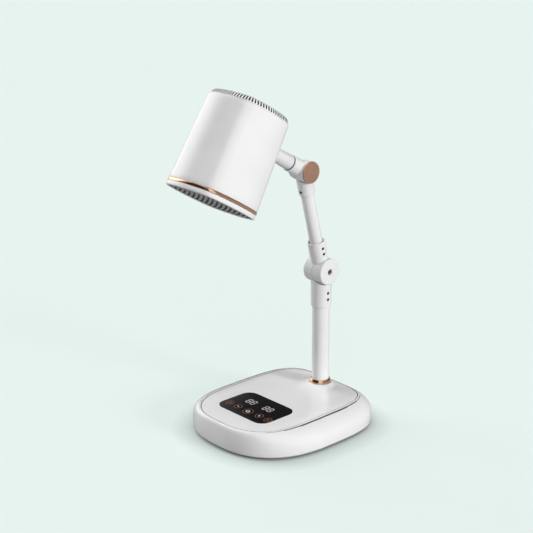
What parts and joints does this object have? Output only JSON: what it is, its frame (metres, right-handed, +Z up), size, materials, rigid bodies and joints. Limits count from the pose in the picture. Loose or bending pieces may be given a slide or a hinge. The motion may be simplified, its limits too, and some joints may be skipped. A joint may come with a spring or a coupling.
{
  "type": "desk-standing warm air dryer",
  "caption": "Desk-standing warm-air dryer: a weighted base with a touch panel, a swivelling post, a two-knuckle arm and a rounded-square dryer head with a slatted outlet.",
  "frame": {"origin": "middle of the base's footprint, on the surface it stands on", "axes": "+Z up, -Y to the user's side where the head reaches out over the touch panel, +X to the user's right"},
  "size_m": [0.1892, 0.2502, 0.4322],
  "materials": {
    "gloss_white": "glossy white shell",
    "rose_gold": "polished rose gold plating",
    "brushed_bronze": "satin bronze anodised, faint concentric turning",
    "black_glass": "black glass-like touch panel",
    "black_plastic": "matte black",
    "dark_grey_plastic": "dark grey, light satin",
    "black_rubber": "matte",
    "steel": "plain turned steel",
    "cast_iron": "as cast, painted dark",
    "circuit_board": "green board",
    "brass": "bright",
    "mica": "mica and ceramic board",
    "nylon": "natural nylon",
    "white_metal": "glossy white powder coat"
  },
  "bodies": {
    "base": {"base_shell": "gloss_white", "top_panel": "gloss_white", "bottom_plate": "black_plastic", "foot_pad": "black_rubber", "counterweight": "cast_iron", "touch_glass": "black_glass", "display_left": "dark_grey_plastic", "display_right": "dark_grey_plastic", "control_board": "circuit_board", "buzzer": "black_plastic", "power_board": "circuit_board", "power_transformer": "dark_grey_plastic", "power_inlet": "black_plastic", "inlet_pin_left": "brass", "inlet_pin_right": "brass", "base_screw_1": "steel", "base_screw_2": "steel", "base_screw_3": "steel", "base_screw_4": "steel", "post_socket": "steel", "post_bush": "nylon", "foot_ring": "rose_gold"},
    "post": {"post_tube": "white_metal", "post_plug": "steel", "post_bolt": "steel", "lower_knuckle": "white_metal", "lower_set_screw_1": "steel", "lower_set_screw_2": "steel", "elbow_nut": "steel"},
    "upper_arm": {"upper_knuckle": "white_metal", "upper_set_screw_1": "steel", "upper_set_screw_2": "steel", "elbow_bolt": "steel", "elbow_washer": "nylon", "upper_tube": "white_metal", "arm_ferrule": "white_metal", "ferrule_screw": "steel", "tilt_far_cap": "gloss_white", "tilt_washer": "nylon"},
    "neck": {"neck_knuckle": "white_metal", "tilt_bolt": "steel", "tilt_cap": "brushed_bronze", "neck_seal": "dark_grey_plastic"},
    "head": {"neck_tube": "white_metal", "neck_nut": "steel", "head_shell": "gloss_white", "intake_cap": "gloss_white", "trim_ring": "rose_gold", "outlet_bezel": "gloss_white", "outlet_grille": "dark_grey_plastic", "air_duct": "mica", "fan_bracket": "dark_grey_plastic", "fan_motor": "steel", "heater_frame": "mica", "heater_coil_1": "brass", "heater_coil_2": "brass", "heater_coil_3": "brass", "thermal_cutout": "dark_grey_plastic"},
    "fan": {"fan_rotor": "black_plastic"}
  },
  "joints": [
    {"name": "post_swivel", "type": "hinge", "parent": "base", "child": "post", "pos_m": [0, 0.0718, 0.0332], "axis": [0, 0, 1], "range_deg": [-60, 60]},
    {"name": "elbow_tilt", "type": "hinge", "parent": "post", "child": "upper_arm", "pos_m": [0, 0.0718, 0.1871], "axis": [1, 0, 0], "range_deg": [-30, 25]},
    {"name": "head_tilt", "type": "hinge", "parent": "upper_arm", "child": "neck", "pos_m": [0, 0.03866, 0.32003], "axis": [1, 0, 0], "range_deg": [-30, 25]},
    {"name": "head_roll", "type": "hinge", "parent": "neck", "child": "head", "pos_m": [0, 0.03866, 0.32003], "axis": [0, -0.8554, 0.518], "range_deg": [-90, 90]},
    {"name": "fan_spin", "type": "hinge", "parent": "head", "child": "fan", "pos_m": [0, -0.0627, 0.38142], "axis": [0, 0.518, 0.8554], "continuous": true}
  ]
}
